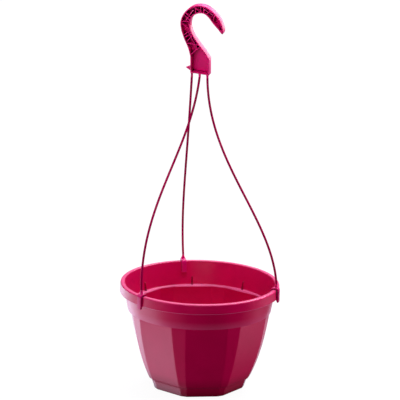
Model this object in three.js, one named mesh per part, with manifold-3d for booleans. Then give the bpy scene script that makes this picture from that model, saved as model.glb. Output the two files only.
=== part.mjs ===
// A moulded plastic hanging basket: an eight-sided pot with a round rolled rim, and a
// one-piece hanger of a ribbed hook, three stiff flexible strands and three rim clips.
// Millimetres, +Z up. The origin is the centre of the pot's underside, and +X runs
// through the first clip.
import * as THREE from 'three';
import { mergeVertices } from 'three/addons/utils/BufferGeometryUtils.js';
import Module from 'manifold-3d';

const wasm = await Module();
wasm.setup();

// Pot: wide flat facets between narrow gores, a round band on top of them, and the rim
const SIDES = 8;
const WALL = 1.6;
const FLOOR_T = 2.2;
const BASE_R = 74.4;
const FOOT_TOP = { r: 79.5, z: 15.4 };
const STEP_TOP = { r: 83.3, z: 17.6 };
const BODY_TOP = { r: 111.4, z: 122.2 };
const BODY_BULGE = [{ r: 99.8, z: 52.5 }, { r: 106.4, z: 88 }];
const GORE_HALF_BASE = 3.75;
const GORE_HALF_TOP = 5.9;
const BAND_BOTTOM_R = 112.3;
const BAND_TOP = { r: 119.6, z: 163.9 };
const RIM_R = 125;
const RIM_TOP_Z = 165.8;
const RIM_MOUTH_R = 117.3;
const SKIRT_BOTTOM_Z = 150.2;
const SKIRT_SHOULDER_R = 124.3;
const SHOULDER_Z = 127.7;
const SHOULDER_DROP = 2.4;
const SHOULDER_R = 110.6;
const STACK_RIB = { width: 2.2, depth: 3.6, bottom: 125.9, height: 15.5 };
const DRAIN = { count: 8, pitchR: 51, r: 4 };

// Hanger: clips over the rim, strands, and the hook that they run up to
const CLIP_ANGLES = { right: 0, back: 119.2, left: 240 };
const CLIP = { width: 7.8, leg: 2.7, topR: 122, topZ: 169.2, bottomZ: 145.2, innerBottomZ: 148.3, barb: 1.6 };
const CLIP_GAPS = { over: 1.1, outside: 0.35, inside: 0.6 };
const STRAND_FOOT_R = 123;
const CLIP_NECK = { height: 6, halfWidth: 3.6, halfDepth: 2.2 };
const STRAND_R = 1.5;
const STRAND_STEPS = 50;
const STRAND_SECTION = 8;
const NECK_SIDES = 12;
const JOINT_GAP = 0.3;
const HOOK_FOOT = new THREE.Vector3(-6.1, -1, 496.2);
const HOOK_LEAN = 12.3;
const HOOK_ROLL = 3.5;
const HOOK_YAW = -5.6;
const HOOK_DEPTH = 9.6;
const HOOK_WALL = 1.9;
const HOOK_WEB = 1.6;
const ROOT = { length: 5, r: 2.3, spacing: 12.7, offset: -0.7, behindFront: 2.4 };
// How far each strand keeps the direction it has at the hook and at its clip, how much
// it fans sideways out of the hook, and how much it leans outwards where it meets the clip
const STRANDS = {
  right: { root: 1, atHook: 142.8, atClip: 105.2, fan: 0.008, lean: -0.1 },
  left: { root: 0, atHook: 131.1, atClip: 136.7, fan: -0.121, lean: 0.04 },
  back: { root: -1, atHook: 165, atClip: 84.3, fan: -0.059, lean: 0.3 },
};
// The hook's two edges, foot to tip, in its own plane: across, up
const HOOK_OUTER = [
  [-15.3, 27], [-18.8, 40], [-25.6, 55], [-30.3, 70], [-30.6, 83], [-22.5, 99],
  [-8, 109.6], [9, 110.7], [22.4, 103.1], [32, 93], [37.3, 80.5], [38.2, 74],
];
const HOOK_INNER = [
  [15.3, 27], [8.7, 36.9], [-3.5, 51.3], [-12.9, 66], [-15.8, 78.5], [-11.3, 91.6],
  [-2.4, 97.9], [7, 98.7], [14, 94.3], [21.5, 85.3], [29.8, 77], [34.4, 71.6],
];
const HOOK_TIP = [36.9, 70];
const HOOK_HALF_WIDTH = 15.3;
const SPUR = { outline: [[-14.4, 11.3], [-24, 6.6], [-14.4, 1.2]], front: 3, back: 6 };
// The hook's lattice. A place on the hook is a station, counted from edge point to edge
// point. Cross ribs run from a station on the outer wall to one on the inner wall. Long
// ribs run along the channel between two places: [station, how far across it].
const LATTICE = { width: 1.2, height: 7.3 };
const CROSS_RIBS = [
  [0.2, 1.55], [1.5, 1.7], [1.6, 2.7], [2.05, 2.9], [2.3, 3.25], [3.7, 3.3], [3.9, 4.3], [4.6, 4.45],
  [4.85, 4.8], [6.1, 5.6], [5.85, 6.6], [6.6, 6.45], [6.85, 6.95], [7.7, 7.35], [8.2, 8.9],
];
const LONG_RIBS = [[[2.95, 0.7], [1.15, 0.6]], [[4.35, 0.55], [5.65, 0.4]], [[6.95, 0.4], [8.15, 0.3]]];

const PLASTIC = {
  pot: new THREE.MeshStandardMaterial({ color: 0xa80d48, roughness: 0.34, metalness: 0 }),
  hanger: new THREE.MeshStandardMaterial({ color: 0xb2144f, roughness: 0.38, metalness: 0 }),
};

// ---- geometry helpers ----

const rad = THREE.MathUtils.degToRad;

function plain(geometry) {
  geometry.deleteAttribute('normal');
  geometry.deleteAttribute('uv');
  return mergeVertices(geometry, 1e-4);
}

function toSolid(geometry) {
  const merged = plain(geometry.clone());
  return new wasm.Manifold(new wasm.Mesh({
    numProp: 3,
    vertProperties: new Float32Array(merged.attributes.position.array),
    triVerts: new Uint32Array(merged.index.array),
  }));
}

function toGeometry(solid) {
  const mesh = solid.getMesh();
  const geometry = new THREE.BufferGeometry();
  geometry.setAttribute('position', new THREE.BufferAttribute(new Float32Array(mesh.vertProperties), 3));
  geometry.setIndex(new THREE.BufferAttribute(new Uint32Array(mesh.triVerts), 1));
  return geometry;
}

// A closed skin over rings of points, each ring anticlockwise as seen along the way
function loft(rings) {
  const count = rings[0].length;
  const points = rings.flat();
  const index = [];
  for (let i = 0; i < rings.length - 1; i += 1) {
    for (let j = 0; j < count; j += 1) {
      const k = (j + 1) % count;
      index.push(i * count + j, i * count + k, (i + 1) * count + k);
      index.push(i * count + j, (i + 1) * count + k, (i + 1) * count + j);
    }
  }
  for (const [ring, flip] of [[0, true], [rings.length - 1, false]]) {
    const middle = new THREE.Vector3();
    rings[ring].forEach((p) => middle.addScaledVector(p, 1 / count));
    const centre = points.push(middle) - 1;
    for (let j = 0; j < count; j += 1) {
      const a = ring * count + j;
      const b = ring * count + ((j + 1) % count);
      index.push(centre, flip ? b : a, flip ? a : b);
    }
  }
  const geometry = new THREE.BufferGeometry().setFromPoints(points);
  geometry.setIndex(index);
  return geometry;
}

function named(name, geometry, material) {
  const mesh = new THREE.Mesh(geometry, material);
  mesh.name = name;
  return mesh;
}

// ---- pot ----

const FACET_STEPS = 5;
const GORE_STEPS = 2;

// One level of the pot: round, or straight from corner to corner
function potRing({ r, z, faceted }) {
  const rise = THREE.MathUtils.clamp(z / BODY_TOP.z, 0, 1);
  const half = THREE.MathUtils.lerp(GORE_HALF_BASE, GORE_HALF_TOP, faceted ? rise : 1);
  const pitch = 360 / SIDES;
  const ring = [];
  for (let side = 0; side < SIDES; side += 1) {
    const corners = [-half, half, pitch - half].map((a) => rad(a + side * pitch));
    for (const [from, to, steps] of [[0, 1, GORE_STEPS], [1, 2, FACET_STEPS]]) {
      for (let i = 0; i < steps; i += 1) {
        const t = i / steps;
        const angle = THREE.MathUtils.lerp(corners[from], corners[to], t);
        const a = new THREE.Vector3(Math.cos(corners[from]), Math.sin(corners[from]), 0);
        const b = new THREE.Vector3(Math.cos(corners[to]), Math.sin(corners[to]), 0);
        const onCircle = new THREE.Vector3(Math.cos(angle), Math.sin(angle), 0);
        const point = faceted ? a.lerp(b, t) : onCircle;
        ring.push(point.multiplyScalar(r).setZ(z));
      }
    }
  }
  return ring;
}

function bodyLevels() {
  const side = new THREE.CubicBezierCurve(
    new THREE.Vector2(STEP_TOP.r, STEP_TOP.z),
    ...BODY_BULGE.map(({ r, z }) => new THREE.Vector2(r, z)),
    new THREE.Vector2(BODY_TOP.r, BODY_TOP.z),
  );
  const walls = side.getPoints(8).map((p) => ({ r: p.x, z: p.y, faceted: true }));
  return [{ ...FOOT_TOP, faceted: true }, ...walls];
}

function potShell() {
  const outside = [
    { r: BASE_R, z: 0, faceted: true },
    ...bodyLevels(),
    { r: BAND_BOTTOM_R, z: BODY_TOP.z },
    BAND_TOP,
  ];
  const rim = [
    { r: SKIRT_SHOULDER_R - WALL - 1.5, z: BAND_TOP.z },
    { r: SKIRT_SHOULDER_R - WALL, z: BAND_TOP.z - 1.7 },
    { r: RIM_R - WALL, z: SKIRT_BOTTOM_Z },
    { r: RIM_R, z: SKIRT_BOTTOM_Z },
    { r: SKIRT_SHOULDER_R, z: RIM_TOP_Z - 2.4 },
    { r: SKIRT_SHOULDER_R - 0.8, z: RIM_TOP_Z - 0.7 },
    { r: SKIRT_SHOULDER_R - 2.4, z: RIM_TOP_Z },
    { r: RIM_MOUTH_R + 1.4, z: RIM_TOP_Z },
    { r: RIM_MOUTH_R, z: RIM_TOP_Z - 0.9 },
  ];
  const inside = bodyLevels().reverse().map(({ r, z }) => ({ r: r - WALL, z, faceted: true }));
  inside[0].z = SHOULDER_Z - SHOULDER_DROP;
  inside.unshift({ r: SHOULDER_R, z: SHOULDER_Z });
  inside.push({ r: BASE_R - WALL, z: FLOOR_T, faceted: true });
  let pot = toSolid(loft([...outside, ...rim, ...inside].map(potRing)));
  for (let side = 0; side < SIDES; side += 1) {
    pot = pot.add(stackRib(side));
  }
  for (let hole = 0; hole < DRAIN.count; hole += 1) {
    pot = pot.subtract(drainHole(hole));
  }
  return toGeometry(pot);
}

// A small upright rib inside, over the middle of a facet, that keeps stacked pots apart
function stackRib(side) {
  const { width, depth, bottom, height } = STACK_RIB;
  const foot = mouth(bottom) + WALL / 2;
  const head = mouth(bottom + height) + WALL / 2;
  const profile = new THREE.Shape();
  profile.moveTo(foot - depth, bottom);
  profile.lineTo(foot, bottom);
  profile.lineTo(head, bottom + height);
  profile.lineTo(head - depth * 0.6, bottom + height);
  const rib = new THREE.ExtrudeGeometry(profile, { depth: width, bevelEnabled: false });
  rib.translate(0, 0, -width / 2);
  rib.rotateX(Math.PI / 2);
  rib.rotateZ(rad((side + 0.5) * 360 / SIDES));
  return toSolid(rib);
}

function drainHole(hole) {
  const plug = new THREE.CylinderGeometry(DRAIN.r, DRAIN.r, FLOOR_T * 4, 12);
  plug.rotateX(Math.PI / 2);
  plug.translate(DRAIN.pitchR, 0, 0);
  plug.rotateZ(rad((hole + 0.5) * 360 / DRAIN.count));
  return toSolid(plug);
}

// The radius of the wall's inner face between the mouth and the shoulder
function mouth(z) {
  const slope = (RIM_MOUTH_R - SHOULDER_R) / (RIM_TOP_Z - SHOULDER_Z);
  return RIM_MOUTH_R - (RIM_TOP_Z - z) * slope;
}

// ---- clips: an upturned U over the rim, with a barb that catches under the skirt ----

function clip() {
  const { width, leg, topR, topZ, bottomZ, innerBottomZ, barb } = CLIP;
  const { over, outside, inside } = CLIP_GAPS;
  const skin = RIM_R + outside;
  const hookZ = SKIRT_BOTTOM_Z - outside;
  const bendZ = RIM_TOP_Z - 2;
  const profile = new THREE.Shape();
  profile.moveTo(mouth(innerBottomZ) - inside - leg, innerBottomZ);
  profile.lineTo(mouth(innerBottomZ) - inside, innerBottomZ);
  profile.lineTo(mouth(bendZ) - inside, bendZ);
  profile.lineTo(RIM_MOUTH_R - 0.4, RIM_TOP_Z + over / 3);
  profile.lineTo(topR, RIM_TOP_Z + over);
  profile.lineTo(SKIRT_SHOULDER_R, RIM_TOP_Z);
  profile.lineTo(skin, bendZ);
  profile.lineTo(skin, hookZ);
  profile.lineTo(skin - barb, hookZ);
  profile.lineTo(skin, bottomZ + 1.2);
  profile.quadraticCurveTo(skin, bottomZ, skin + leg / 2, bottomZ);
  profile.quadraticCurveTo(skin + leg, bottomZ, skin + leg, bottomZ + 1.2);
  profile.lineTo(skin + leg, bendZ);
  profile.quadraticCurveTo(skin + leg, topZ, topR, topZ);
  profile.quadraticCurveTo(RIM_MOUTH_R - 3.3, topZ - 0.6, mouth(bendZ) - inside - leg, bendZ - leg);
  const body = new THREE.ExtrudeGeometry(profile, { depth: width, bevelEnabled: false, curveSegments: 5 });
  body.translate(0, 0, -width / 2);
  body.rotateX(Math.PI / 2);
  return toSolid(body).add(toSolid(clipNeck(topZ)));
}

// The waist where the flat clip narrows into the round strand
function clipNeck(top) {
  const { height, halfWidth, halfDepth } = CLIP_NECK;
  const levels = [-0.15, 0, 0.25, 0.55, 1];
  return loft(levels.map((level) => {
    const spread = Math.min((1 - level) ** 2, 1);
    const across = THREE.MathUtils.lerp(STRAND_R, halfWidth, spread);
    const deep = THREE.MathUtils.lerp(STRAND_R, halfDepth, spread);
    return Array.from({ length: NECK_SIDES }, (_, i) => {
      const a = i * 2 * Math.PI / NECK_SIDES;
      const z = top + height * level;
      return new THREE.Vector3(STRAND_FOOT_R + deep * Math.cos(a), across * Math.sin(a), z);
    });
  }));
}

// ---- hook: a channel open to the front, with a lattice of ribs across it ----

function edge(points) {
  return new THREE.CatmullRomCurve3(points.map(([across, up]) => new THREE.Vector3(across, up, 0)));
}

const outerEdge = edge(HOOK_OUTER);
const innerEdge = edge(HOOK_INNER);
const STATIONS = HOOK_OUTER.length - 1;

// A point on an edge at a station, moved towards the other edge by an inset
function edgePoint(curve, other, station, inset) {
  const point = curve.getPoint(station / STATIONS);
  const across = other.getPoint(station / STATIONS).sub(point).normalize();
  return new THREE.Vector2(point.x + across.x * inset, point.y + across.y * inset);
}

function hookOutline(inset, lastStation) {
  const half = HOOK_HALF_WIDTH - inset;
  const steps = 44;
  const outer = [];
  const inner = [];
  for (let i = 0; i <= steps; i += 1) {
    const station = lastStation * i / steps;
    outer.push(edgePoint(outerEdge, innerEdge, station, inset));
    inner.push(edgePoint(innerEdge, outerEdge, station, inset));
  }
  const tip = lastStation === STATIONS ? [new THREE.Vector2(...HOOK_TIP)] : [];
  const foot = [new THREE.Vector2(half, inset), new THREE.Vector2(-half, inset)];
  return new THREE.Shape([...outer, ...tip, ...inner.reverse(), ...foot]);
}

// A flat shape in the hook's plane, between two depths measured from its front face
function slab(shape, front, back) {
  const geometry = new THREE.ExtrudeGeometry(shape, { depth: back - front, bevelEnabled: false });
  geometry.rotateX(Math.PI / 2);
  geometry.translate(0, back - HOOK_DEPTH / 2, 0);
  return toSolid(geometry);
}

// A place in the hook's channel, from 0 in the outer wall to 1 in the inner wall
function channelPoint(station, across) {
  const outer = edgePoint(outerEdge, innerEdge, station, HOOK_WALL / 2);
  return outer.lerp(edgePoint(innerEdge, outerEdge, station, HOOK_WALL / 2), across);
}

function latticeRib(start, end) {
  const a = channelPoint(...start);
  const b = channelPoint(...end);
  const side = new THREE.Vector2(a.y - b.y, b.x - a.x).setLength(LATTICE.width / 2);
  const corners = [a.clone().add(side), a.clone().sub(side), b.clone().sub(side), b.clone().add(side)];
  return slab(new THREE.Shape(corners), HOOK_DEPTH - HOOK_WEB - LATTICE.height, HOOK_DEPTH - HOOK_WEB / 2);
}

function latticeRibs() {
  const cross = CROSS_RIBS.map(([outer, inner]) => latticeRib([outer, 0], [inner, 1]));
  return [...cross, ...LONG_RIBS.map((ends) => latticeRib(...ends))];
}

// A point below the hook's foot on the line of a strand, in the hook's own frame
function rootPoint(place, below) {
  return new THREE.Vector3(place * ROOT.spacing + ROOT.offset, ROOT.behindFront - HOOK_DEPTH / 2, -below);
}

// A tapered root under the hook's foot, where a strand begins
function strandRoot(place) {
  const cone = new THREE.CylinderGeometry(ROOT.r, STRAND_R, ROOT.length + 1, NECK_SIDES);
  cone.rotateX(Math.PI / 2);
  cone.translate(...rootPoint(place, (ROOT.length - 1) / 2));
  return toSolid(cone);
}

function hook() {
  let solid = slab(hookOutline(0, STATIONS), 0, HOOK_DEPTH);
  solid = solid.subtract(slab(hookOutline(HOOK_WALL, STATIONS - 0.6), -1, HOOK_DEPTH - HOOK_WEB));
  for (const rib of latticeRibs()) {
    solid = solid.add(rib);
  }
  const spur = new THREE.Shape(SPUR.outline.map(([across, up]) => new THREE.Vector2(across, up)));
  solid = solid.add(slab(spur, SPUR.front, SPUR.back));
  for (const { root } of Object.values(STRANDS)) {
    solid = solid.add(strandRoot(root));
  }
  return toGeometry(solid);
}

// ---- strands: round rods moulded in one with the hook and the clips ----

const hookTurn = new THREE.Euler(rad(HOOK_LEAN), rad(HOOK_ROLL), rad(HOOK_YAW), 'ZXY');

function strand(name) {
  const { root, atHook, atClip, fan, lean } = STRANDS[name];
  const angle = rad(CLIP_ANGLES[name]);
  const out = new THREE.Vector3(Math.cos(angle), Math.sin(angle), 0);
  const down = new THREE.Vector3(fan, 0, -1).normalize().applyEuler(hookTurn);
  const start = rootPoint(root, ROOT.length + JOINT_GAP).applyEuler(hookTurn).add(HOOK_FOOT);
  const neckTop = CLIP.topZ + CLIP_NECK.height;
  const clear = JOINT_GAP + STRAND_R * Math.abs(lean);
  const end = out.clone().multiplyScalar(STRAND_FOOT_R).setZ(neckTop + clear);
  const rise = out.clone().multiplyScalar(lean).setZ(1).normalize();
  const path = new THREE.CubicBezierCurve3(
    start,
    start.clone().addScaledVector(down, atHook),
    end.clone().addScaledVector(rise, atClip),
    end,
  );
  const section = new THREE.Shape(Array.from({ length: STRAND_SECTION }, (_, i) => {
    const a = i * 2 * Math.PI / STRAND_SECTION;
    return new THREE.Vector2(STRAND_R * Math.cos(a), STRAND_R * Math.sin(a));
  }));
  return plain(new THREE.ExtrudeGeometry(section, { steps: STRAND_STEPS, extrudePath: path }));
}

// ---- assembly ----

const basket = new THREE.Group();
basket.add(named('pot_shell', potShell(), PLASTIC.pot));

const clipGeometry = toGeometry(clip());
for (const [name, angle] of Object.entries(CLIP_ANGLES)) {
  const place = named(`rim_clip_${name}`, clipGeometry.clone(), PLASTIC.hanger);
  place.rotation.z = rad(angle);
  basket.add(place);
  basket.add(named(`strand_${name}`, strand(name), PLASTIC.hanger));
}

const hookMesh = named('hook', hook(), PLASTIC.hanger);
hookMesh.rotation.copy(hookTurn);
hookMesh.position.copy(HOOK_FOOT);
basket.add(hookMesh);

export default basket;
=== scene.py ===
import math

import bpy
import bmesh
from mathutils import Matrix, Vector


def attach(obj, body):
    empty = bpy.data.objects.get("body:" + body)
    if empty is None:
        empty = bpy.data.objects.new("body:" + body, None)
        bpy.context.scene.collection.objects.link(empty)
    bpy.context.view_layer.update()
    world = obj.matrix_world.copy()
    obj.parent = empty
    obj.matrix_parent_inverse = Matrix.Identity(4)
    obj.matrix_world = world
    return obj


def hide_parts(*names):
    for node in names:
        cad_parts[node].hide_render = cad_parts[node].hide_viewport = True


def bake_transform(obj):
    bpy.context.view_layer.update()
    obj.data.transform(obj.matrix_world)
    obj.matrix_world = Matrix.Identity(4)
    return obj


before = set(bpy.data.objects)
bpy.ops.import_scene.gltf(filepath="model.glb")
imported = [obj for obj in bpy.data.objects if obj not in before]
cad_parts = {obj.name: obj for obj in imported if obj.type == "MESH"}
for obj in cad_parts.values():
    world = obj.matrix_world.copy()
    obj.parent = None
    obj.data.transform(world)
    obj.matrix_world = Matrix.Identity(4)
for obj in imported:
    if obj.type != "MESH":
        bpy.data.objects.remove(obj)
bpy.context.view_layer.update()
SCENE = bpy.context.scene
MM = 0.001

# ---- the pot's dimensions, in millimetres ----
SIDES = 8
WALL = 1.6
FLOOR_T = 2.2
DISH_R = 64.0
DISH_Z = 0.9
BASE_R = 74.4
FOOT_TOP = (79.5, 15.4)
STEP_TOP = (83.3, 17.6)
BODY_BULGE = ((99.8, 52.5), (106.4, 88.0))
BODY_TOP = (111.4, 122.2)
GORE_HALF = (3.75, 5.9)  # half a gore's width in degrees, at the base and at the top of the facets
BAND_BOTTOM_R = 112.3
BAND_TOP = (119.6, 163.9)
RIM_R = 125.0
RIM_TOP_Z = 165.8
RIM_MOUTH_R = 117.3
SKIRT_BOTTOM_Z = 150.2
SKIRT_SHOULDER_R = 124.3
RIM_ROUND = 2.7
MOUTH_ROUND = 1.9
SHOULDER = (110.6, 127.7)
LEDGE_DROP = 2.2
STACK_RIB = {"width": 2.2, "depth": 3.6, "bottom": 125.9, "height": 15.5,
             "root": 0.9, "set_back": 0.8, "nose": 0.7}
DRAIN = {"count": 8, "pitch_r": 51.0, "r": 4.0, "ease": 0.7, "sides": 28}

# ---- the hanger's dimensions, in millimetres and degrees ----
CLIP_ANGLES = {"right": 0.0, "back": 119.2, "left": 240.0}
CLIP = {"width": 7.8, "leg": 2.7, "top_r": 122.0, "top_z": 169.2, "bottom_z": 145.2, "inner_bottom_z": 148.3,
        "barb": 1.6}
CLIP_GAPS = {"over": 1.1, "outside": 0.35, "inside": 0.6}
NECK = {"height": 6.0, "half_width": 3.6, "half_depth": 2.2, "root": 0.22, "taper": 2.2, "widest": 1.25}
STRAND_R = 1.8
STRAND_FOOT_R = 123.0
HOOK_FOOT = Vector((-6.1, -1.0, 496.2))
HOOK_TURN = (12.3, 3.5, -5.6)
HOOK_DEPTH = 9.6
HOOK_WALL = 1.9
HOOK_WEB = 1.6
ROOT = {"length": 5.0, "sunk": 1.0, "r": 2.3, "spacing": 12.7, "offset": -0.7, "behind_front": 2.4}
# Each strand leaves the hook downwards, fanned out by fan along the hook's width, and meets its clip from
# above, leaning outwards by lean. at_hook and at_clip are the lengths of its curve's two handles.
STRANDS = {
    "right": {"root": 1, "at_hook": 142.8, "at_clip": 105.2, "fan": 0.008, "lean": -0.1},
    "left": {"root": 0, "at_hook": 131.1, "at_clip": 136.7, "fan": -0.121, "lean": 0.04},
    "back": {"root": -1, "at_hook": 165.0, "at_clip": 84.3, "fan": -0.059, "lean": 0.3},
}
# The hook's edges in its own plane, across and up from its foot, from the plate to the tip
HOOK_OUTER = [
    (-15.3, 27), (-18.8, 40), (-25.6, 55), (-30.3, 70), (-30.6, 83), (-22.5, 99),
    (-8, 109.6), (9, 110.7), (22.4, 103.1), (32, 93), (37.3, 80.5), (38.2, 74),
]
HOOK_INNER = [
    (15.3, 27), (8.7, 36.9), (-3.5, 51.3), (-12.9, 66), (-15.8, 78.5), (-11.3, 91.6),
    (-2.4, 97.9), (7, 98.7), (14, 94.3), (21.5, 85.3), (29.8, 77), (34.4, 71.6),
]
HOOK_TIP = (36.9, 70.0)
HOOK_HALF_WIDTH = 15.3
SPUR = [(-14.4, 11.3), (-24.0, 6.6), (-14.4, 1.2)]
SPUR_DEPTHS = (3.0, 6.0)
LATTICE = {"width": 1.2, "height": 7.3}
# A cross rib goes from a station on the outer wall to one on the inner wall. Each end of a long rib is a
# station and how far across the channel it is.
CROSS_RIBS = [
    (0.2, 1.55), (1.5, 1.7), (1.6, 2.7), (2.05, 2.9), (2.3, 3.25), (3.7, 3.3), (3.9, 4.3), (4.6, 4.45),
    (4.85, 4.8), (6.1, 5.6), (5.85, 6.6), (6.6, 6.45), (6.85, 6.95), (7.7, 7.35), (8.2, 8.9),
]
LONG_RIBS = [((2.95, 0.7), (1.15, 0.6)), ((4.35, 0.55), (5.65, 0.4)), ((6.95, 0.4), (8.15, 0.3))]

# ---- the picture's view, in degrees and metres, with the lens in millimetres ----
VIEW = {"azimuth": 16.0, "elevation": 14.25, "roll": 1.3, "distance": 3.0, "lens": 174.55}
VIEW_CENTRE = (-0.00273, 0.0, 0.297)


# ---- mesh helpers ----

WELD = 0.01
SLIVER = 0.002
BEVEL_ANGLE = 50.0


def link(name, data):
    obj = bpy.data.objects.new(name, data)
    SCENE.collection.objects.link(obj)
    return obj


def loft(name, rings):
    """A closed skin over rings of points, each ring anticlockwise as seen from the way the rings go."""
    count = len(rings[0])
    points = [tuple(c * MM for c in p) for ring in rings for p in ring]
    faces = []
    for i in range(len(rings) - 1):
        for j in range(count):
            k = (j + 1) % count
            a, b = i * count, (i + 1) * count
            faces.append((a + j, a + k, b + k, b + j))
    faces.append(tuple(reversed(range(count))))
    faces.append(tuple(range(len(points) - count, len(points))))
    mesh = bpy.data.meshes.new(name)
    mesh.from_pydata(points, [], faces)
    mesh.validate()
    return link(name, mesh)


def smooth(obj, angle):
    """Smooth shading, kept sharp where faces meet at more than angle degrees."""
    mesh = obj.data
    mesh.polygons.foreach_set("use_smooth", [True] * len(mesh.polygons))
    mesh.set_sharp_from_angle(angle=math.radians(angle))
    mesh.update()


def apply_modifiers(obj):
    depsgraph = bpy.context.evaluated_depsgraph_get()
    depsgraph.update()
    baked = bpy.data.meshes.new_from_object(obj.evaluated_get(depsgraph))
    baked.name = obj.name
    obj.modifiers.clear()
    obj.data = baked


def combine(base, tools, operation):
    """Joins closed meshes to base or cuts them from it, and removes them."""
    for tool in tools:
        modifier = base.modifiers.new(operation, "BOOLEAN")
        modifier.operation = operation
        modifier.object = tool
        modifier.solver = "EXACT"
    apply_modifiers(base)
    for tool in tools:
        bpy.data.objects.remove(tool)


def clean(obj):
    """Welds doubled points, drops slivers and makes every face look outwards."""
    work = bmesh.new()
    work.from_mesh(obj.data)
    bmesh.ops.remove_doubles(work, verts=work.verts, dist=WELD * MM)
    bmesh.ops.dissolve_degenerate(work, edges=work.edges, dist=SLIVER * MM)
    bmesh.ops.recalc_face_normals(work, faces=work.faces)
    work.to_mesh(obj.data)
    work.free()


def bevel(obj, width, segments):
    """Rounds the edges where faces meet at more than BEVEL_ANGLE degrees."""
    modifier = obj.modifiers.new("bevel", "BEVEL")
    modifier.width = width * MM
    modifier.segments = segments
    modifier.limit_method = "ANGLE"
    modifier.angle_limit = math.radians(BEVEL_ANGLE)
    modifier.use_clamp_overlap = True
    apply_modifiers(obj)


def polar(radius, degrees, z):
    a = math.radians(degrees)
    return Vector((radius * math.cos(a), radius * math.sin(a), z))


def bezier(p0, p1, p2, p3, steps):
    """Points along a cubic curve from p0 to p3."""
    points = []
    for i in range(steps + 1):
        t = i / steps
        s = 1 - t
        points.append(p0 * s ** 3 + p1 * (3 * s * s * t) + p2 * (3 * s * t * t) + p3 * t ** 3)
    return points


# ---- materials ----

def node(tree, kind, **values):
    """A new node with the given settings."""
    made = tree.nodes.new(kind)
    for key, value in values.items():
        setattr(made, key, value)
    return made


def noise(tree, coords, scale, detail=3.0, roughness=0.5, stretch=(1, 1, 1)):
    """Cloudy noise from 0 to 1, as a socket."""
    mapping = node(tree, "ShaderNodeMapping")
    mapping.inputs["Scale"].default_value = stretch
    tree.links.new(coords, mapping.inputs["Vector"])
    texture = node(tree, "ShaderNodeTexNoise")
    texture.inputs["Scale"].default_value = scale
    texture.inputs["Detail"].default_value = detail
    texture.inputs["Roughness"].default_value = roughness
    tree.links.new(mapping.outputs["Vector"], texture.inputs["Vector"])
    return texture.outputs["Fac"]


def spread(tree, value, low, high, to_low, to_high):
    """Maps a value from the range low, high to the range to_low, to_high, and clamps it there."""
    ramp = node(tree, "ShaderNodeMapRange")
    for key, number in (("From Min", low), ("From Max", high), ("To Min", to_low), ("To Max", to_high)):
        ramp.inputs[key].default_value = number
    tree.links.new(value, ramp.inputs["Value"])
    return ramp.outputs["Result"]


def blend_colour(tree, factor, a, b):
    """A colour that goes from a to b by factor; a and b are colours or sockets."""
    mix = node(tree, "ShaderNodeMix", data_type="RGBA")
    tree.links.new(factor, mix.inputs["Factor"])
    for socket, colour in ((mix.inputs[6], a), (mix.inputs[7], b)):
        if isinstance(colour, tuple):
            socket.default_value = (*colour, 1.0)
        else:
            tree.links.new(colour, socket)
    return mix.outputs[2]


def with_painted_shade(tree, colour, amount, dark):
    """The colour with painted shade, going to dark where amount falls to 0."""
    return blend_colour(tree, amount, dark, colour)


def pigmented(tree, coords, deep, light):
    """Cloudy pigment with faint upright flow streaks."""
    clouds = noise(tree, coords, 28.0, 4.0)
    streaks = noise(tree, coords, 60.0, 3.0, 0.6, (1.0, 1.0, 0.12))
    pigment = blend_colour(tree, spread(tree, clouds, 0.3, 0.7, 0.0, 1.0), deep, light)
    return blend_colour(tree, spread(tree, streaks, 0.55, 0.8, 0.0, 0.35), pigment, light)


def wear_and_highlight_mask(tree, scuffs, sharp):
    """How pale the plastic is: rubbed on sharp edges, and with a painted highlight on the lips that the mesh
    attribute marks.
    """
    edges = node(tree, "ShaderNodeNewGeometry").outputs["Pointiness"]
    rubbed = node(tree, "ShaderNodeMath", operation="MULTIPLY")
    tree.links.new(spread(tree, edges, *sharp, 0.0, 0.9), rubbed.inputs[0])
    tree.links.new(spread(tree, scuffs, 0.35, 0.65, 0.3, 1.0), rubbed.inputs[1])
    # Painted highlight: the lips that the mesh attribute marks go pale.
    edge_highlight = node(tree, "ShaderNodeAttribute", attribute_name="edge_highlight").outputs["Fac"]
    wear_and_highlight = node(tree, "ShaderNodeMath", operation="MULTIPLY_ADD", use_clamp=True)
    tree.links.new(edge_highlight, wear_and_highlight.inputs[0])
    tree.links.new(spread(tree, scuffs, 0.35, 0.65, 0.8, 1.0), wear_and_highlight.inputs[1])
    tree.links.new(rubbed.outputs[0], wear_and_highlight.inputs[2])
    return wear_and_highlight.outputs[0]


def skin_bump(tree, coords, grain):
    """The mould's fine skin over a shallow ripple."""
    skin = noise(tree, coords, 900.0, 5.0, 0.6)
    ripple = noise(tree, coords, 75.0, 2.0)
    heights = node(tree, "ShaderNodeMath", operation="MULTIPLY_ADD")
    tree.links.new(ripple, heights.inputs[0])
    heights.inputs[1].default_value = 2.0
    tree.links.new(skin, heights.inputs[2])
    bump = node(tree, "ShaderNodeBump")
    bump.inputs["Strength"].default_value = grain
    bump.inputs["Distance"].default_value = 0.0004
    tree.links.new(heights.outputs[0], bump.inputs["Height"])
    return bump.outputs["Normal"]


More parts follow.
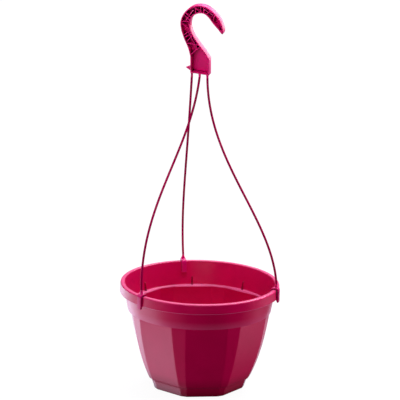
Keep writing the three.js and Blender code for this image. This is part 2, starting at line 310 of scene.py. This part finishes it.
def moulded_plastic(name, deep, light, wear_and_highlight_colour, dark, roughness, recess=None, closed=(0.15, 0.6), foot=None,
                    specular=0.5, sharp=(0.54, 0.6), grain=0.10):
    """Pigmented polypropylene with pale rubbed edges, painted highlights on its lips and a fine skin.

    Painted shade darkens it in recesses narrower than recess metres, where the openness is between the two
    values of closed, up to foot metres above the base, and on the faces that its mesh attribute marks. An
    edge is rubbed where its pointiness is between the two values of sharp.
    """
    material = bpy.data.materials.new(name)
    material.use_nodes = True
    tree = material.node_tree
    shader = tree.nodes["Principled BSDF"]
    shader.inputs["IOR"].default_value = 1.5
    shader.inputs["Specular IOR Level"].default_value = specular
    coords = node(tree, "ShaderNodeTexCoord").outputs["Object"]
    scuffs = noise(tree, coords, 420.0, 6.0, 0.65)
    coloured = blend_colour(tree, wear_and_highlight_mask(tree, scuffs, sharp), pigmented(tree, coords, deep, light), wear_and_highlight_colour)
    # Painted shade: the colour darkens towards the base, up to foot metres above it.
    if foot:
        height = node(tree, "ShaderNodeSeparateXYZ")
        tree.links.new(coords, height.inputs[0])
        clear = spread(tree, height.outputs["Z"], -0.3 * foot, foot, 0.0, 1.0)
        coloured = with_painted_shade(tree, coloured, clear, dark)
    # Painted shade on the faces that the mesh attribute marks: the stacking ribs.
    rib_shade = node(tree, "ShaderNodeAttribute", attribute_name="rib_shade").outputs["Fac"]
    coloured = blend_colour(tree, rib_shade, coloured, dark)
    # Painted shade: ambient occlusion darkens the colour and dulls the shine in narrow recesses.
    if recess:
        painted_occlusion = node(tree, "ShaderNodeAmbientOcclusion", samples=8)
        painted_occlusion.inputs["Distance"].default_value = recess
        openness = spread(tree, painted_occlusion.outputs["AO"], *closed, 0.0, 1.0)
        coloured = with_painted_shade(tree, coloured, openness, dark)
        shine = spread(tree, painted_occlusion.outputs["AO"], *closed, 0.05, specular)
        tree.links.new(shine, shader.inputs["Specular IOR Level"])
    tree.links.new(coloured, shader.inputs["Base Color"])
    dull = spread(tree, scuffs, 0.3, 0.75, roughness - 0.03, roughness + 0.07)
    tree.links.new(dull, shader.inputs["Roughness"])
    tree.links.new(skin_bump(tree, coords, grain), shader.inputs["Normal"])
    return material


# The pot's plastic carries painted shade in its recesses and towards its base; the hanger's carries it in
# its recesses.
POT_PLASTIC = moulded_plastic(
    "pot_plastic", deep=(0.60, 0.0004, 0.073), light=(0.66, 0.0007, 0.084), wear_and_highlight_colour=(0.85, 0.16, 0.38),
    dark=(0.12, 0.0001, 0.002), roughness=0.30, recess=0.004, foot=0.034, sharp=(0.56, 0.62))
HANGER_PLASTIC = moulded_plastic(
    "hanger_plastic", deep=(0.62, 0.0006, 0.125), light=(0.68, 0.001, 0.14), wear_and_highlight_colour=(0.95, 0.13, 0.42),
    dark=(0.05, 0.0001, 0.006), roughness=0.31, recess=0.0055, closed=(0.27, 0.72))
# The strands are the hanger's plastic, painted darker and with their reflections turned down: painted shade.
STRAND_SHADED_PLASTIC = moulded_plastic(
    "strand_shaded_plastic", deep=(0.32, 0.0005, 0.052), light=(0.37, 0.0008, 0.062), wear_and_highlight_colour=(0.42, 0.01, 0.09),
    dark=(0.2, 0.0002, 0.02), roughness=0.42, specular=0.03)


def finish_piece(obj, material, slot, body, *nodes):
    """Gives the piece its one material, hides the CAD nodes that it stands for, and hangs it on its body if
    it has one.
    """
    obj.data.materials.clear()
    obj.data.materials.append(material)
    for face in obj.data.polygons:
        face.material_index = 0
    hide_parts(*nodes)
    if body:
        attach(obj, body)


# ---- pot ----

# Shares of the way across one facet, or across the narrow gore between two facets
FACET_COLUMNS = (0.0, 0.035, 0.14, 0.3, 0.5, 0.7, 0.86, 0.965, 1.0)
GORE_COLUMNS = (0.0, 0.2, 0.5, 0.8, 1.0)
FILLET_STEPS = 4
CORNER_FILLET = 1.3


def flat_ring(r, z):
    """Straight facets between straight narrow gores, with each corner rounded off."""
    rise = min(max(z / BODY_TOP[1], 0.0), 1.0)
    half = GORE_HALF[0] + (GORE_HALF[1] - GORE_HALF[0]) * rise
    pitch = 360.0 / SIDES
    corners = []
    for side in range(SIDES):
        corners.append(polar(r, side * pitch - half, z))
        corners.append(polar(r, side * pitch + half, z))
    ring = []
    for i, corner in enumerate(corners):
        before = (corners[i - 1] - corner).normalized()
        ahead = corners[(i + 1) % len(corners)]
        after = (ahead - corner).normalized()
        for k in range(FILLET_STEPS + 1):
            t = k / FILLET_STEPS
            a = corner + before * CORNER_FILLET
            b = corner + after * CORNER_FILLET
            ring.append(a * (1 - t) ** 2 + corner * (2 * t * (1 - t)) + b * t * t)
        start, end = corner + after * CORNER_FILLET, ahead - after * CORNER_FILLET
        columns = GORE_COLUMNS if i % 2 == 0 else FACET_COLUMNS
        ring.extend(start.lerp(end, t) for t in columns[1:-1])
    return ring


def pot_ring(r, z, flat):
    """One ring of the pot, with the same points whether it is faceted or round."""
    ring = flat_ring(r, z)
    if flat:
        return ring
    return [Vector((p.x, p.y, 0)).normalized() * r + Vector((0, 0, z)) for p in ring]


def body_curve(steps):
    """The facets' bulge, as points (r, z) from the foot's step up to the band."""
    points = bezier(*(Vector(p) for p in (STEP_TOP, *BODY_BULGE, BODY_TOP)), steps)
    return [(p.x, p.y) for p in points]


def arc(centre, radius, start, end, steps):
    """Points (r, z) of an arc in the pot's section, in degrees from outwards, anticlockwise."""
    angles = [math.radians(start + (end - start) * i / steps) for i in range(steps + 1)]
    return [(centre[0] + radius * math.cos(a), centre[1] + radius * math.sin(a)) for a in angles]


def mouth(z):
    """The radius inside the band at height z."""
    slope = (RIM_MOUTH_R - SHOULDER[0]) / (RIM_TOP_Z - SHOULDER[1])
    return RIM_MOUTH_R - (RIM_TOP_Z - z) * slope


def beside(corner, *offsets):
    """Points at small offsets from a corner of the section, which ease it."""
    return [(corner[0] + out, corner[1] + up) for out, up in offsets]


def foot_section():
    """From the raised middle of the underside, out and up the foot to the top of its step."""
    points = [(DISH_R, DISH_Z), (DISH_R + 3.0, DISH_Z), (DISH_R + 4.0, 0.0)]
    points += beside((BASE_R, 0.0), (-1.2, 0.0), (-0.4, 0.25), (0.2, 1.0))
    points += beside(FOOT_TOP, (-2.2, -6.0), (-0.25, -0.7), (0.3, 0.15))
    return points + beside(STEP_TOP, (-0.5, -0.4), (0.1, 0.5))


def band_section():
    """The plain round band over the facets."""
    bottom = (BAND_BOTTOM_R, BODY_TOP[1])
    points = beside(bottom, (-0.5, 0.0), (-0.1, 0.15), (0.1, 0.6))
    for t in (0.3, 0.6, 0.97):
        points.append((bottom[0] + (BAND_TOP[0] - bottom[0]) * t, bottom[1] + (BAND_TOP[1] - bottom[1]) * t))
    return points


def rim_section():
    """Down inside the skirt, round its lip, up its outside and over the rim into the mouth."""
    lip = WALL / 2
    points = beside(BAND_TOP, (0.5, 0.0))
    points += beside((SKIRT_SHOULDER_R - WALL, BAND_TOP[1]), (-1.5, 0.0), (0.0, -1.7))
    points += beside((RIM_R - WALL, SKIRT_BOTTOM_Z), (0.0, 0.4))
    points += arc((RIM_R - lip, SKIRT_BOTTOM_Z + lip), lip, 180, 360, 8)
    points += beside((RIM_R, SKIRT_BOTTOM_Z), (-0.01, 1.1), (-0.03, 1.7), (-0.15, 4.0))
    points += beside((SKIRT_SHOULDER_R, RIM_TOP_Z), (0.1, -5.0), (0.03, -3.8), (0.01, -3.1))
    points += arc((SKIRT_SHOULDER_R - RIM_ROUND, RIM_TOP_Z - RIM_ROUND), RIM_ROUND, 0, 90, 7)
    return points + arc((RIM_MOUTH_R + MOUTH_ROUND, RIM_TOP_Z - MOUTH_ROUND), MOUTH_ROUND, 90, 175, 6)


def mouth_section():
    """Down the inside of the band to the ledge."""
    points = [(mouth(z), z) for z in (158.0, 148.0, 138.0, SHOULDER[1] + 1.6)]
    return points + beside(SHOULDER, (0.05, 0.5), (-0.35, 0.1))


def ledge_section(wall_r):
    """The ledge, and its edge rounded down on to the wall at radius wall_r."""
    edge = (wall_r, SHOULDER[1])
    points = [(min(wall_r + 2.0, SHOULDER[0] - 0.45), SHOULDER[1])]
    for out, drop in ((0.3, 0.15), (-0.35, 0.36), (-0.75, 0.66), (-0.9, 1.0)):
        points += beside(edge, (out, -drop * LEDGE_DROP))
    return points + beside(edge, (-0.92, -LEDGE_DROP - 0.35))


def inside_section(body):
    """Down the inside of the facets and the foot, and in along the floor."""
    points = [(r - WALL, z) for r, z in reversed(body[1:-1])]
    points += beside((STEP_TOP[0] - WALL, STEP_TOP[1]), (0.0, 0.8))
    points += beside((FOOT_TOP[0] - WALL, FOOT_TOP[1]), (0.0, 0.2))
    points += beside((BASE_R - WALL, FLOOR_T), (1.4, 3.2), (0.3, 0.9), (-0.6, 0.2), (-1.8, 0.0))
    return points + [(DISH_R, FLOOR_T)]


def pot_levels():
    """The pot's section from the middle of its underside, out, up, over the rim, and down inside.

    Each level is a radius, a height, and whether the pot has flat facets there.
    """
    body = body_curve(18)
    below = foot_section() + body[1:-1] + beside(BODY_TOP, (-0.1, -0.6), (-0.1, 0.0))
    above = band_section() + rim_section() + mouth_section()
    inside = ledge_section(body[-1][0] - WALL) + inside_section(body)
    return [(r, z, flat) for part, flat in ((below, True), (above, False), (inside, True)) for r, z in part]


# A stacking rib's taper: height, depth and half width as shares of its height, depth and width
RIB_TAPER = [(0.0, 1.0, 0.5), (0.5, 0.8, 0.46), (0.86, 0.62, 0.42), (0.96, 0.5, 0.36), (1.0, 0.24, 0.24)]


def stack_rib(side):
    """A small upright rib inside, over the middle of a facet."""
    width, depth, bottom, height = (STACK_RIB[k] for k in ("width", "depth", "bottom", "height"))
    rings = []
    for rise, deep, wide in RIB_TAPER:
        z = bottom + height * rise
        half = width * wide
        back = mouth(z) + STACK_RIB["root"]
        front = mouth(z) - depth * deep + STACK_RIB["set_back"]
        nose = min(half, STACK_RIB["nose"])
        flank = [(front + nose, half), (front + nose * 0.3, half * 0.75), (front, half * 0.25)]
        section = [(back, -half), (back, half), *flank, *((x, -y) for x, y in reversed(flank))]
        rings.append([Vector((x, y, z)) for x, y in section])
    rib = loft("rib", rings)
    turn = math.radians((side + 0.5) * 360.0 / SIDES)
    rib.data.transform(Matrix.Rotation(turn, 4, "Z"))
    return rib


def drain_plug(hole):
    """What a drainage hole takes out of the floor, with both of its edges eased."""
    r, wide, sides = DRAIN["r"], DRAIN["r"] + DRAIN["ease"], DRAIN["sides"]
    angles = [2 * math.pi * i / sides for i in range(sides)]
    levels = [(-2.0, wide), (DISH_Z, wide), (DISH_Z + 0.6, r), (FLOOR_T - 0.5, r), (FLOOR_T, wide),
              (FLOOR_T + 2.0, wide + 2.0)]
    rings = [[Vector((DRAIN["pitch_r"] + radius * math.cos(a), radius * math.sin(a), z)) for a in angles]
             for z, radius in levels]
    plug = loft("plug", rings)
    plug.data.transform(Matrix.Rotation(math.radians((hole + 0.5) * 360.0 / DRAIN["count"]), 4, "Z"))
    return plug


# How far the painted shade takes the stacking ribs towards the dark colour
RIB_SHADE_AMOUNT = 0.8


def paint_rib_shade(pot):
    """Marks the stacking ribs' faces for painted shade, which makes them darker than the wall round them."""
    rib_shade = pot.data.attributes.new("rib_shade", "FLOAT", "FACE")
    pitch = 360.0 / SIDES
    for face, mark in zip(pot.data.polygons, rib_shade.data):
        x, y, z = (c / MM for c in face.center)
        off = math.hypot(x, y) * math.radians((math.degrees(math.atan2(y, x)) % pitch) - pitch / 2)
        high = STACK_RIB["bottom"] + 2.0 < z < STACK_RIB["bottom"] + STACK_RIB["height"] + 0.1
        proud = math.hypot(x, y) < mouth(z) - 0.5
        mark.value = RIB_SHADE_AMOUNT if high and proud and abs(off) < STACK_RIB["width"] * 0.6 else 0.0


# How bright the painted highlight on each lip is
EDGE_HIGHLIGHTS = {"rim": 0.25, "skirt_lip": 0.7, "ledge": 0.65, "band_lip": 0.3}


def paint_edge_highlights(pot):
    """Marks the lips that get a painted highlight."""
    edge_highlight = pot.data.attributes.new("edge_highlight", "FLOAT", "POINT")
    for vertex, mark in zip(pot.data.vertices, edge_highlight.data):
        x, y, z = (c / MM for c in vertex.co)
        r = math.hypot(x, y)
        if z > RIM_TOP_Z - 1.6:
            mark.value = EDGE_HIGHLIGHTS["rim"]
        elif r > RIM_R - 1.2 and z < SKIRT_BOTTOM_Z + 0.9:
            mark.value = EDGE_HIGHLIGHTS["skirt_lip"]
        elif r < SHOULDER[0] + 0.1 and SHOULDER[1] - 2.3 < z < SHOULDER[1] + 0.6:
            mark.value = EDGE_HIGHLIGHTS["ledge"]
        elif r > BODY_TOP[0] + 0.3 and z < BODY_TOP[1] + 0.7:
            mark.value = EDGE_HIGHLIGHTS["band_lip"]


def build_pot():
    """The pot as one skin over its levels, with the ribs joined on and the drainage holes cut."""
    pot = loft("pot", [pot_ring(*level) for level in pot_levels()])
    combine(pot, [stack_rib(side) for side in range(SIDES)], "UNION")
    combine(pot, [drain_plug(hole) for hole in range(DRAIN["count"])], "DIFFERENCE")
    clean(pot)
    paint_rib_shade(pot)
    paint_edge_highlights(pot)
    smooth(pot, 32.0)
    finish_piece(pot, POT_PLASTIC, "pot_plastic", "pot", "pot_shell")


# ---- clips ----

def turn_over(start, control, end, steps=8):
    """Points after start on a bend that sets out towards control and comes to end."""
    points = []
    for i in range(1, steps + 1):
        t = i / steps
        s = 1 - t
        points.append(tuple(a * s * s + b * 2 * s * t + c * t * t for a, b, c in zip(start, control, end)))
    return points


def clip_profile():
    """The clip's side outline: an upturned U over the rim, with a barb under the skirt."""
    over, outside, inside = (CLIP_GAPS[k] for k in ("over", "outside", "inside"))
    leg, top_r, top_z, bottom = (CLIP[k] for k in ("leg", "top_r", "top_z", "bottom_z"))
    skin = RIM_R + outside
    barb_z = SKIRT_BOTTOM_Z - outside
    bend_z = RIM_TOP_Z - 2.0
    toe_z = CLIP["inner_bottom_z"]
    toe_r = mouth(toe_z) - inside
    points = [(toe_r - leg, toe_z), (toe_r, toe_z)]
    points += [(mouth(bend_z) - inside, bend_z), (RIM_MOUTH_R - 0.4, RIM_TOP_Z + over / 3)]
    points += [(RIM_MOUTH_R + 1.7, RIM_TOP_Z + over * 0.8), (top_r, RIM_TOP_Z + over)]
    points.append((SKIRT_SHOULDER_R, RIM_TOP_Z))
    points += [(skin, bend_z), (skin, barb_z), (skin - CLIP["barb"], barb_z), (skin, bottom + 1.2)]
    points += arc((skin + leg / 2, bottom + leg / 2), leg / 2, 200, 360, 6)
    points.append((skin + leg, bend_z))
    points += turn_over((skin + leg, bend_z), (skin + leg, top_z), (top_r, top_z))
    inner_end = (mouth(bend_z) - inside - leg, bend_z - leg)
    return points + turn_over((top_r, top_z), (RIM_MOUTH_R - 3.3, top_z - 0.6), inner_end)


def clip_neck():
    """The waist where the flat clip narrows into the round strand, rooted a little way down in the clip."""
    rings = []
    for i in range(11):
        level = -NECK["root"] + (1 + NECK["root"]) * i / 10
        flare = min((1 - level) ** NECK["taper"], NECK["widest"])
        across = STRAND_R + (NECK["half_width"] - STRAND_R) * flare
        deep = STRAND_R + (NECK["half_depth"] - STRAND_R) * flare
        z = CLIP["top_z"] + NECK["height"] * level
        angles = [2 * math.pi * k / 28 for k in range(28)]
        rings.append([Vector((STRAND_FOOT_R + deep * math.cos(a), across * math.sin(a), z)) for a in angles])
    return loft("neck", rings)


def build_clip(name):
    """A clip made over +X, then turned to its place on the rim."""
    half = CLIP["width"] / 2
    outline = clip_profile()
    rings = [[Vector((r, y, z)) for r, z in outline] for y in (half, -half)]
    clip = loft(f"clip_{name}", rings)
    clean(clip)
    bevel(clip, 0.45, 3)
    combine(clip, [clip_neck()], "UNION")
    clean(clip)
    clip.data.transform(Matrix.Rotation(math.radians(CLIP_ANGLES[name]), 4, "Z"))
    smooth(clip, 40.0)
    finish_piece(clip, HANGER_PLASTIC, "hanger_plastic", "hanger", f"rim_clip_{name}")


# ---- hook ----

def catmull(points, station):
    """A point on the centripetal spline through points; station counts the points passed, from 0."""
    last = len(points) - 1
    i = min(int(station), last - 1)
    t = station - i
    p = [Vector(points[max(min(k, last), 0)]) for k in (i - 1, i, i + 1, i + 2)]
    if i == 0:
        p[0] = p[1] * 2 - p[2]
    if i == last - 1:
        p[3] = p[2] * 2 - p[1]
    gaps = [max((p[k + 1] - p[k]).length_squared ** 0.25, 1e-4) for k in range(3)]
    m1 = (p[1] - p[0]) / gaps[0] - (p[2] - p[0]) / (gaps[0] + gaps[1]) + (p[2] - p[1]) / gaps[1]
    m2 = (p[2] - p[1]) / gaps[1] - (p[3] - p[1]) / (gaps[1] + gaps[2]) + (p[3] - p[2]) / gaps[2]
    m1, m2 = m1 * gaps[1], m2 * gaps[1]
    return (p[1] + m1 * t + (p[1] * -3 + p[2] * 3 - m1 * 2 - m2) * t * t
            + (p[1] * 2 - p[2] * 2 + m1 + m2) * t ** 3)


STATIONS = len(HOOK_OUTER) - 1
RECESS_END = STATIONS - 0.6


def edge_point(own, other, station, inset):
    """A point on one edge of the hook, moved in towards the other edge."""
    point = catmull(own, station)
    return point + (catmull(other, station) - point).normalized() * inset


def hook_outline(inset, last_station, steps=66):
    """The hook's outline in its own plane, foot to tip and back, pulled in by inset."""
    half = HOOK_HALF_WIDTH - inset
    stations = [last_station * i / steps for i in range(steps + 1)]
    outer = [edge_point(HOOK_OUTER, HOOK_INNER, s, inset) for s in stations]
    inner = [edge_point(HOOK_INNER, HOOK_OUTER, s, inset) for s in stations]
    tip = [Vector(HOOK_TIP)] if last_station == STATIONS else []
    foot = [Vector((half, inset)), Vector((-half, inset))]
    return outer + tip + list(reversed(inner)) + foot


def slab(name, outline, front, back):
    """A flat shape in the hook's plane, between two depths measured from its front face."""
    rings = [[Vector((p.x, depth - HOOK_DEPTH / 2, p.y)) for p in outline] for depth in (front, back)]
    made = loft(name, rings)
    clean(made)
    return made


def channel_point(station, across):
    """A place in the hook's channel, from 0 in the outer wall to 1 in the inner wall."""
    outer = edge_point(HOOK_OUTER, HOOK_INNER, station, HOOK_WALL / 2)
    inner = edge_point(HOOK_INNER, HOOK_OUTER, station, HOOK_WALL / 2)
    return outer.lerp(inner, across)


def lattice_rib(start, end):
    """A thin rib on the web between two places in the channel, each a station and how far across."""
    a, b = channel_point(*start), channel_point(*end)
    side = Vector((a.y - b.y, b.x - a.x)).normalized() * LATTICE["width"] / 2
    front = HOOK_DEPTH - HOOK_WEB - LATTICE["height"]
    return slab("rib", [a + side, a - side, b - side, b + side], front, HOOK_DEPTH - HOOK_WEB / 2)


def lattice_ribs():
    """The ribs across the channel, from one wall to the other, and the shorter ones along it."""
    ribs = [lattice_rib((outer, 0.0), (inner, 1.0)) for outer, inner in CROSS_RIBS]
    return ribs + [lattice_rib(*ends) for ends in LONG_RIBS]


def root_point(place, below):
    """A point under the hook's foot, at one of its three strands."""
    return Vector((place * ROOT["spacing"] + ROOT["offset"], ROOT["behind_front"] - HOOK_DEPTH / 2, -below))


def strand_root(place):
    """The thicker end of a strand, which widens into the hook's foot."""
    rings = []
    for i in range(9):
        t = i / 8
        radius = STRAND_R + (ROOT["r"] - STRAND_R) * t * t
        centre = root_point(place, ROOT["length"] * (1 - t) - ROOT["sunk"] * t)
        rings.append([centre + Vector((radius * math.cos(a), radius * math.sin(a), 0))
                      for a in (2 * math.pi * k / 24 for k in range(24))])
    return loft("root", rings)


HOOK_MATRIX = (Matrix.Rotation(math.radians(HOOK_TURN[2]), 4, "Z")
               @ Matrix.Rotation(math.radians(HOOK_TURN[0]), 4, "X")
               @ Matrix.Rotation(math.radians(HOOK_TURN[1]), 4, "Y"))


def build_hook():
    """The hook made upright in its own plane, then turned and set on the strands."""
    hook = slab("hook_moulding", hook_outline(0.0, STATIONS), 0.0, HOOK_DEPTH)
    bevel(hook, 0.5, 3)
    recess = slab("recess", hook_outline(HOOK_WALL, RECESS_END), -1.0, HOOK_DEPTH - HOOK_WEB)
    combine(hook, [recess], "DIFFERENCE")
    spur = slab("spur", [Vector(p) for p in SPUR], *SPUR_DEPTHS)
    bevel(spur, 0.4, 2)
    roots = [strand_root(strand["root"]) for strand in STRANDS.values()]
    combine(hook, lattice_ribs() + [spur] + roots, "UNION")
    clean(hook)
    hook.data.transform(Matrix.Translation(HOOK_FOOT * MM) @ HOOK_MATRIX)
    smooth(hook, 35.0)
    finish_piece(hook, HANGER_PLASTIC, "hanger_plastic", "hook", "hook")


# ---- strands ----


def strand_path(name, steps=110):
    """The strand's middle line, from under the hook to the top of the clip's neck."""
    strand = STRANDS[name]
    out = polar(1.0, CLIP_ANGLES[name], 0.0)
    turn = HOOK_MATRIX.to_3x3()
    down = turn @ Vector((strand["fan"], 0, -1)).normalized()
    start = turn @ root_point(strand["root"], ROOT["length"]) + HOOK_FOOT
    end = out * STRAND_FOOT_R + Vector((0, 0, CLIP["top_z"] + NECK["height"]))
    rise = (out * strand["lean"] + Vector((0, 0, 1))).normalized()
    return bezier(start, start + down * strand["at_hook"], end + rise * strand["at_clip"], end, steps)


def build_strand(name, sides=20):
    """A round rod along the strand's path, which bends with the hook's tilt."""
    path = strand_path(name)
    angles = [2 * math.pi * k / sides for k in range(sides)]
    rings = []
    normal = Vector((0, 1, 0))
    for i, point in enumerate(path):
        ahead = path[min(i + 1, len(path) - 1)] - path[max(i - 1, 0)]
        tangent = ahead.normalized()
        normal = (normal - tangent * normal.dot(tangent)).normalized()
        side = tangent.cross(normal)
        rings.append([point + (normal * math.cos(a) + side * math.sin(a)) * STRAND_R for a in angles])
    strand = loft(f"strand_{name}_rod", rings)
    smooth(strand, 60.0)
    finish_piece(strand, STRAND_SHADED_PLASTIC, "hanger_plastic", None, f"strand_{name}")
    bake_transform(strand)


# ---- the studio ----

def camera():
    """The picture's camera, aimed at VIEW_CENTRE and rolled a little."""
    data = bpy.data.cameras.new("camera")
    data.sensor_width = 36.0
    data.lens = VIEW["lens"]
    obj = link("camera", data)
    tilt, roll = math.radians(VIEW["elevation"]), math.radians(VIEW["roll"])
    back = Vector((0, -math.cos(tilt), math.sin(tilt)))
    right = Vector((1, 0, 0))
    up = back.cross(right)
    right, up = right * math.cos(roll) + up * math.sin(roll), up * math.cos(roll) - right * math.sin(roll)
    place = Vector(VIEW_CENTRE) + back * VIEW["distance"]
    turn = Matrix.Rotation(math.radians(VIEW["azimuth"]), 4, "Z")
    axes = Matrix((right, up, back)).transposed().to_4x4()
    obj.matrix_world = turn @ Matrix.Translation(place) @ axes
    SCENE.camera = obj


def from_view(right, back, up):
    """A place given as right of, behind and above the object's middle, as the camera sees it."""
    a = math.radians(VIEW["azimuth"])
    return Vector((right * math.cos(a) - back * math.sin(a), right * math.sin(a) + back * math.cos(a), up))


# Area lights: the place and the aim as from_view takes them, the size in metres, the power in watts, and
# the beam in degrees where it is narrowed
POT_MIDDLE = (0, 0, 0.1)
SOFTBOXES = {
    "fill_box": {"place": (-0.2, -2.2, 0.62), "aim": POT_MIDDLE, "size": (1.0, 0.7), "power": 9.4},
    "left_box": {"place": (-1.4, -0.8, 0.1), "aim": POT_MIDDLE, "size": (0.8, 0.18), "power": 6.5},
    "right_box": {"place": (1.6, 0.1, 0.1), "aim": POT_MIDDLE, "size": (0.8, 0.18), "power": 15.0},
    "top_box": {"place": (0.1, -0.1, 1.3), "aim": POT_MIDDLE, "size": (0.4, 0.4), "power": 6.0},
    "back_box": {"place": (0.34, 0.26, 0.71), "aim": (0, 0, 0.57), "size": (0.34, 0.4), "power": 2.2,
                 "mirrored": True},
    "hook_box": {"place": (-0.16, -0.3, 0.78), "aim": (0, 0, 0.55), "size": (0.2, 0.2), "power": 0.1,
                 "beam": 50.0},
}


def softbox(name, place, aim, size, power, mirrored=False, beam=180.0):
    """A soft rectangular light; the plastic mirrors it only where mirrored says so."""
    data = bpy.data.lights.new(name, "AREA")
    data.shape = "RECTANGLE"
    data.size, data.size_y = size
    data.energy = power
    data.spread = math.radians(beam)
    obj = link(name, data)
    obj.visible_glossy = mirrored
    obj.visible_camera = False
    obj.location = from_view(*place)
    obj.rotation_euler = (from_view(*aim) - from_view(*place)).to_track_quat("-Z", "Y").to_euler()


# Brightness of the surround, which the plastic mirrors, as (degrees round to the right from the camera's
# side, brightness), in bands from low to high
TABLE_LIGHT = [
    (-180, 0.02), (-140, 0.1), (-108, 2.1), (-84, 2.6), (-74, 1.3), (-63, 0.3), (-38, 0.3), (-22, 0.0),
    (70, 0.0), (88, 0.0), (108, 0.03), (135, 0.05), (180, 0.02),
]
SIDE_LIGHT = [
    (-180, 0.9), (-162, 1.6), (-145, 3.2), (-126, 3.2), (-112, 1.9), (-84, 1.8), (-70, 0.5), (-58, 0.17),
    (-41, 0.13), (-34, 0.0), (70, 0.0), (84, 0.25), (98, 0.4), (110, 0.85), (125, 0.25), (148, 0.2),
    (158, 1.1), (180, 0.9),
]
LEVEL_LIGHT = [
    (-180, 0.33), (-165, 0.33), (-150, 0.1), (-60, 0.05), (-40, 0.0), (60, 0.0), (150, 0.1), (165, 0.33),
    (180, 0.33),
]
BACK_LIGHT = [
    (-180, 4.0), (-160, 4.0), (-140, 0.5), (-60, 0.2), (-40, 0.05), (-20, 0.0), (40, 0.0), (60, 0.05),
    (110, 0.5), (128, 4.0), (180, 4.0),
]
TOP_LIGHT = 3.1
BRIGHTEST = 5.0
DAYLIGHT = (0.92, 1.0, 1.24, 1)
# Where one band goes over into the next, as the upward part of the direction
TABLE_TO_SIDE = (-0.62, -0.42)
SIDE_TO_LEVEL = (-0.16, -0.04)
LEVEL_TO_BACK = (0.5, 0.62)
BACK_TO_TOP = (0.91, 0.95)
# The table's band fades to a share of itself towards straight down
TABLE_FADE = {"from": -0.56, "to": -0.9, "share": 0.25}


def round_light(tree, angle, stops):
    """Brightness by direction round the object, as a socket."""
    curve = node(tree, "ShaderNodeFloatCurve")
    tree.links.new(angle, curve.inputs["Value"])
    mapping = curve.mapping
    mapping.use_clip = False
    points = mapping.curves[0].points
    points[0].location = (0.0, stops[0][1] / BRIGHTEST)
    points[1].location = (1.0, stops[-1][1] / BRIGHTEST)
    for degrees, level in stops[1:-1]:
        points.new((degrees + 180) / 360, level / BRIGHTEST)
    for point in points:
        point.handle_type = "VECTOR"
    mapping.update()
    return curve.outputs["Value"]


def blend_value(tree, factor, a, b):
    """A value that goes from a to b by factor; a and b are numbers or sockets."""
    mix = node(tree, "ShaderNodeMix", data_type="FLOAT")
    for socket, value in ((mix.inputs[0], factor), (mix.inputs[2], a), (mix.inputs[3], b)):
        if isinstance(value, float):
            socket.default_value = value
        else:
            tree.links.new(value, socket)
    return mix.outputs[0]


def studio_world():
    """A white studio lit from behind and from the left, and dark on the camera's side."""
    world = bpy.data.worlds.new("studio")
    SCENE.world = world
    world.use_nodes = True
    tree = world.node_tree
    direction = node(tree, "ShaderNodeTexCoord").outputs["Generated"]
    dots = []
    for axis in (from_view(1, 0, 0), from_view(0, -1, 0)):
        dot = node(tree, "ShaderNodeVectorMath", operation="DOT_PRODUCT")
        tree.links.new(direction, dot.inputs[0])
        dot.inputs[1].default_value = axis
        dots.append(dot.outputs["Value"])
    turn = node(tree, "ShaderNodeMath", operation="ARCTAN2")
    tree.links.new(dots[0], turn.inputs[0])
    tree.links.new(dots[1], turn.inputs[1])
    angle = spread(tree, turn.outputs[0], -math.pi, math.pi, 0.0, 1.0)
    height = node(tree, "ShaderNodeSeparateXYZ")
    tree.links.new(direction, height.inputs[0])
    up = height.outputs["Z"]
    faded = node(tree, "ShaderNodeMath", operation="MULTIPLY")
    tree.links.new(round_light(tree, angle, TABLE_LIGHT), faded.inputs[0])
    fade = spread(tree, up, TABLE_FADE["to"], TABLE_FADE["from"], TABLE_FADE["share"], 1.0)
    tree.links.new(fade, faded.inputs[1])
    dome = faded.outputs[0]
    bands = ((TABLE_TO_SIDE, SIDE_LIGHT), (SIDE_TO_LEVEL, LEVEL_LIGHT), (LEVEL_TO_BACK, BACK_LIGHT))
    for reach, stops in bands:
        dome = blend_value(tree, spread(tree, up, *reach, 0.0, 1.0), dome, round_light(tree, angle, stops))
    dome = blend_value(tree, spread(tree, up, *BACK_TO_TOP, 0.0, 1.0), dome, TOP_LIGHT / BRIGHTEST)
    background = tree.nodes["Background"]
    background.inputs["Color"].default_value = DAYLIGHT
    strength = node(tree, "ShaderNodeMath", operation="MULTIPLY")
    tree.links.new(dome, strength.inputs[0])
    strength.inputs[1].default_value = BRIGHTEST
    tree.links.new(strength.outputs[0], background.inputs["Strength"])


FLOOR_R = 6500.0
FLOOR_GLOW = 0.955


def studio_floor():
    """A plain white floor; it glows a little below white, so that it hardly shows a shadow."""
    angles = [2 * math.pi * k / 64 for k in range(64)]
    rings = [[polar(FLOOR_R, math.degrees(a), z) for a in angles] for z in (-8.0, -0.2)]
    floor = loft("studio_floor", rings)
    material = bpy.data.materials.new("floor_paper")
    material.use_nodes = True
    tree = material.node_tree
    shader = tree.nodes["Principled BSDF"]
    shader.inputs["Roughness"].default_value = 0.9
    shader.inputs["Specular IOR Level"].default_value = 0.1
    coords = node(tree, "ShaderNodeTexCoord").outputs["Object"]
    paper = blend_colour(tree, noise(tree, coords, 9.0), (0.055, 0.055, 0.055), (0.065, 0.065, 0.065))
    tree.links.new(paper, shader.inputs["Base Color"])
    shader.inputs["Emission Color"].default_value = (1, 1, 1, 1)
    shader.inputs["Emission Strength"].default_value = FLOOR_GLOW
    floor.data.materials.append(material)
    floor.visible_glossy = False
    floor.visible_diffuse = False


camera()
studio_world()
studio_floor()
for box_name, box in SOFTBOXES.items():
    softbox(box_name, **box)
SCENE.view_settings.view_transform = "Standard"

build_pot()
for clip_name in CLIP_ANGLES:
    build_clip(clip_name)
build_hook()
for strand_name in STRANDS:
    build_strand(strand_name)
